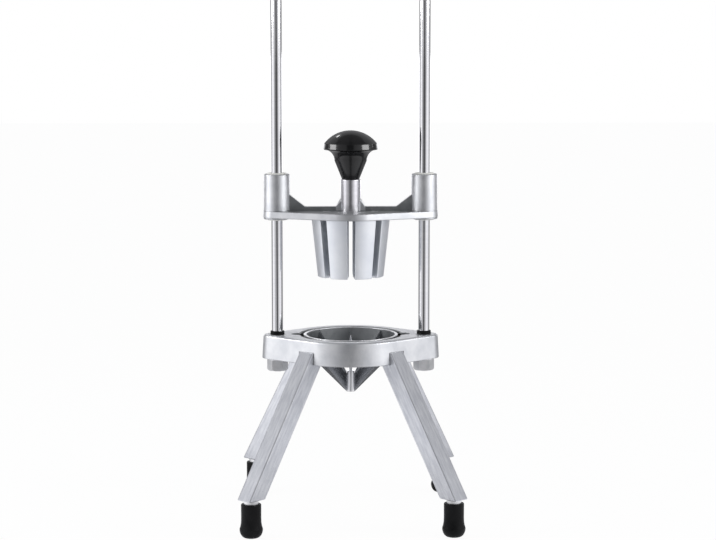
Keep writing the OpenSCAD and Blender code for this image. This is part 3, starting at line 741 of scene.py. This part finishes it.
def knob():
    bm = bmesh.new()
    k = knobShape
    cove = [(k["creaseR"] + (k["rimLowR"] - k["creaseR"]) * (1 - math.cos(t)),
             k["creaseZ"] + (k["rimLowZ"] - k["creaseZ"]) * math.sin(t))
            for t in (math.radians(a) for a in range(0, 91, 10))]
    over, steps = k["top"] - k["rimTopZ"], k["domeSteps"]
    domeR = (k["domeFootR"] ** 2 + over ** 2) / (2 * over)
    edge = math.asin(k["domeFootR"] / domeR)
    dome = [(domeR * math.sin(t), k["top"] - domeR * (1 - math.cos(t)))
            for t in (edge * (1 - i / steps) for i in range(steps + 1))]
    outline = [(0, 0), (k["neckLowR"], 0), (k["neckR"], k["neckZ"])] + cove
    outline += [(k["rimR"], k["rimZ"]), (k["rimTopR"], k["rimTopZ"])] + dome
    spin(bm, [(r, k["foot"] + z) for r, z in outline], steps=128)
    soften(bm, k["rimRound"], 2, 22, lambda p: p.z > k["foot"] + k["rimLowZ"] - 1)
    return finish(bm, "knobBody", "head", made["glossPlastic"], ("knob",),
                  sharp=24)


knob()
print("knob made")

# Nodes whose shape stays as it is get their finish

plain = {"fastenerSteel": ("leg_screws", "foot_studs", "rod_nuts", "rod_washers", "ring_screws",
                           "finger_screws", "knob_stud"),
         "blackRubber": ("ring_seal",), "bladeSteel": ("centre_pin",),
         "turnedBrass": ("knob_insert",),
         "whiteNylon": tuple("guide_bush_%s_%s" % (s, e) for s in ("left", "right")
                             for e in ("upper", "lower"))}
for name, members in plain.items():
    for node in members:
        cadNodes[node].data.materials.clear()
        cadNodes[node].data.materials.append(made[name])
print("carried nodes:", sum(len(members) for members in plain.values()))

# Floor, tent and lights

studio = {"floorHalf": 7.0, "floorTone": 0.88, "floorLift": 0.95, "ambient": 0.75,
          "cardPeak": 2.2, "cardBlue": 1.03, "lampZ": 0.3}


def onStage(bm, name, material, metalOnly=False):
    mesh = bpy.data.meshes.new(name)
    bm.to_mesh(mesh)
    bm.free()
    mesh.materials.append(material)
    obj = bpy.data.objects.new(name, mesh)
    bpy.context.scene.collection.objects.link(obj)
    if metalOnly:
        obj.visible_camera = obj.visible_diffuse = False
        obj.visible_shadow = obj.visible_transmission = False


def floorMaterial():
    # the camera sees the paper lifted towards white, with the press's shadow still on it
    material = bpy.data.materials.new("paper")
    material.use_nodes = True
    tree = material.node_tree
    shader, out = tree.nodes["Principled BSDF"], tree.nodes["Material Output"]
    tone = studio["floorTone"]
    shader.inputs["Base Color"].default_value = (tone, tone, tone, 1)
    shader.inputs["Roughness"].default_value = 0.9
    shader.inputs["Specular IOR Level"].default_value = 0.1
    white = put(tree, "Emission", Strength=1.0)
    path = put(tree, "LightPath")
    seen = put(tree, "Math", operation="MAXIMUM")
    lift = put(tree, "Math", operation="MULTIPLY")
    lift.inputs[1].default_value = studio["floorLift"]
    mix = tree.nodes.new("ShaderNodeMixShader")
    tree.links.new(path.outputs["Is Camera Ray"], seen.inputs[0])
    tree.links.new(path.outputs["Is Glossy Ray"], seen.inputs[1])
    tree.links.new(seen.outputs[0], lift.inputs[0])
    tree.links.new(lift.outputs[0], mix.inputs[0])
    tree.links.new(shader.outputs[0], mix.inputs[1])
    tree.links.new(white.outputs[0], mix.inputs[2])
    tree.links.new(mix.outputs[0], out.inputs["Surface"])
    return material


def cardMaterial(name, gain, tones):
    # a card that glows by its direction from the front, as softboxes and flags stand round a set
    material = bpy.data.materials.new(name)
    material.use_nodes = True
    tree = material.node_tree
    peak = studio["cardPeak"]
    glow = put(tree, "Emission", Strength=peak)
    around = put(tree, "TexGradient", gradient_type="RADIAL")
    tree.links.new(put(tree, "TexCoord").outputs["Object"], around.inputs["Vector"])
    scale = put(tree, "ValToRGB")
    stops = scale.color_ramp.elements
    while len(stops) > 1:
        stops.remove(stops[0])
    places = sorted(((turn / 360 + 0.25) % 1, tone * gain / peak) for turn, tone in tones)
    for i, (place, tone) in enumerate(places):
        stop = stops[0] if i == 0 else stops.new(place)
        stop.position = place
        stop.color = (tone, tone, tone * studio["cardBlue"], 1)
    tree.links.new(around.outputs["Fac"], scale.inputs["Fac"])
    tree.links.new(scale.outputs["Color"], glow.inputs["Color"])
    tree.links.new(glow.outputs[0], tree.nodes["Material Output"].inputs["Surface"])
    return material


bm = bmesh.new()
bmesh.ops.create_grid(bm, x_segments=1, y_segments=1, size=studio["floorHalf"])
onStage(bm, "floor", floorMaterial())

# round screens that only the metal and gloss show: outline as distance and height, gain and,
# by the direction from the front, the tone
under = ((-179, 0.50), (-112, 0.60), (-104, 1.10), (-70, 1.10), (-50, 0.85), (-13, 0.62),
         (-9, 0.25), (6, 0.25), (10, 0.62), (50, 0.90), (70, 0.98), (100, 0.98), (108, 0.55),
         (179, 0.50))
low = ((-179, 0.32), (-108, 0.28), (-102, 1.0), (-60, 1.08), (-52, 0.62), (-19, 0.45),
       (-15, 0.09), (10, 0.09), (14, 0.48), (44, 0.88), (50, 1.10), (84, 0.90), (96, 0.85),
       (102, 0.28), (179, 0.32))
high = ((-179, 0.45), (-120, 0.60), (-60, 0.60), (0, 0.30), (60, 0.58), (120, 0.58), (179, 0.45))
behind = ((-179, 2.1), (-145, 2.1), (-135, 0.28), (-108, 0.28), (-102, 1.0), (-60, 1.08),
          (-52, 0.62), (-15, 0.09), (10, 0.09), (44, 0.88), (50, 1.10), (96, 0.85), (102, 0.28),
          (135, 0.28), (145, 2.1), (179, 2.1))
tent = {"nearFloor": (((0.01, 0.0005), (0.9, 0.0005)), 1.0, under),
        "lowScreen": (((0.9, 0.0005), (1.25, 0.0005), (1.25, 0.85)), 1.0, low),
        "deckBand": (((1.22, 0.21), (1.22, 0.43)), 1.0, behind),
        "highScreen": (((1.25, 0.85), (1.25, 2.2)), 1.0, high),
        "ceiling": (((1.25, 2.2), (0.01, 2.2)), 0.5, high)}
for name, (outline, gain, tones) in tent.items():
    bm = bmesh.new()
    verts = [bm.verts.new((away, 0, z)) for away, z in outline]
    edges = [bm.edges.new(pair) for pair in zip(verts, verts[1:])]
    bmesh.ops.spin(bm, geom=verts + edges, cent=(0, 0, 0), axis=(0, 0, 1), angle=2 * math.pi,
                   steps=96, use_merge=True, use_duplicate=False)
    onStage(bm, name, cardMaterial(name, gain, tones), metalOnly=True)

# the brushed legs would mirror the softboxes, so only the tent lights them
shaded = bpy.data.collections.new("shaded")
for obj in [o for o in bpy.data.objects if o.name.startswith("leg_") and o.name.endswith("_bar")]:
    shaded.objects.link(obj)
for entry in shaded.collection_objects:
    entry.light_linking.link_state = "EXCLUDE"

# softboxes: direction from the front, height above the horizon, distance, width, height, power
lamps = {"leftBox": (-82, 15, 1.05, 0.60, 0.15, 2.6), "rightBox": (66, 15, 1.05, 0.60, 0.15, 2.6),
         "backSpot": (-155, 44, 1.1, 0.11, 0.09, 0.35)}
for name, (turn, rise, away, wide, tall, power) in lamps.items():
    light = bpy.data.lights.new(name, "AREA")
    light.shape, light.size, light.size_y, light.energy = "RECTANGLE", wide, tall, power
    lamp = bpy.data.objects.new(name, light)
    a, b = math.radians(turn), math.radians(rise)
    lamp.location = (away * math.sin(a) * math.cos(b), -away * math.cos(a) * math.cos(b),
                     studio["lampZ"] + away * math.sin(b))
    lamp.rotation_euler = (math.radians(90) - b, 0, a)
    bpy.context.scene.collection.objects.link(lamp)
    lamp.light_linking.receiver_collection = shaded

world = bpy.data.worlds.new("studio")
world.use_nodes = True
bpy.context.scene.world = world
tree = world.node_tree
tree.nodes.clear()
path, out = put(tree, "LightPath"), put(tree, "OutputWorld")
soft = put(tree, "Background", Strength=studio["ambient"])
soft.inputs["Color"].default_value = (0.96, 0.98, 1.0, 1)
white = put(tree, "Background", Strength=1.0)
white.inputs["Color"].default_value = (1, 1, 1, 1)
seen = put(tree, "Math", operation="MAXIMUM")
shown = put(tree, "Math", operation="MAXIMUM")
choose = tree.nodes.new("ShaderNodeMixShader")
tree.links.new(path.outputs["Is Camera Ray"], seen.inputs[0])
tree.links.new(path.outputs["Is Glossy Ray"], seen.inputs[1])
tree.links.new(seen.outputs[0], shown.inputs[0])
tree.links.new(path.outputs["Is Transmission Ray"], shown.inputs[1])
tree.links.new(shown.outputs[0], choose.inputs[0])
tree.links.new(soft.outputs[0], choose.inputs[1])
tree.links.new(white.outputs[0], choose.inputs[2])
tree.links.new(choose.outputs[0], out.inputs["Surface"])
print("stage and lights set")

# Camera, as the photograph was taken

shot = {"distance": 2.170, "elevation": 7.072, "azimuth": -1.263, "target": (0.0073, 0.0, 0.2471),
        "lens": 109.72, "sensor": 36.0}
rise, way = math.radians(shot["elevation"]), math.radians(shot["azimuth"])
back = Vector((math.sin(way) * math.cos(rise), -math.cos(way) * math.cos(rise), math.sin(rise)))
camera = bpy.data.cameras.new("camera")
camera.lens, camera.sensor_width, camera.sensor_fit = shot["lens"], shot["sensor"], "HORIZONTAL"
camera.clip_start, camera.clip_end = 0.05, 60.0
eye = bpy.data.objects.new("camera", camera)
eye.location = Vector(shot["target"]) + back * shot["distance"]
eye.rotation_euler = (-back).to_track_quat("-Z", "Y").to_euler()
bpy.context.scene.collection.objects.link(eye)
bpy.context.scene.camera = eye
bpy.context.scene.view_settings.view_transform = "Standard"
print("camera set")
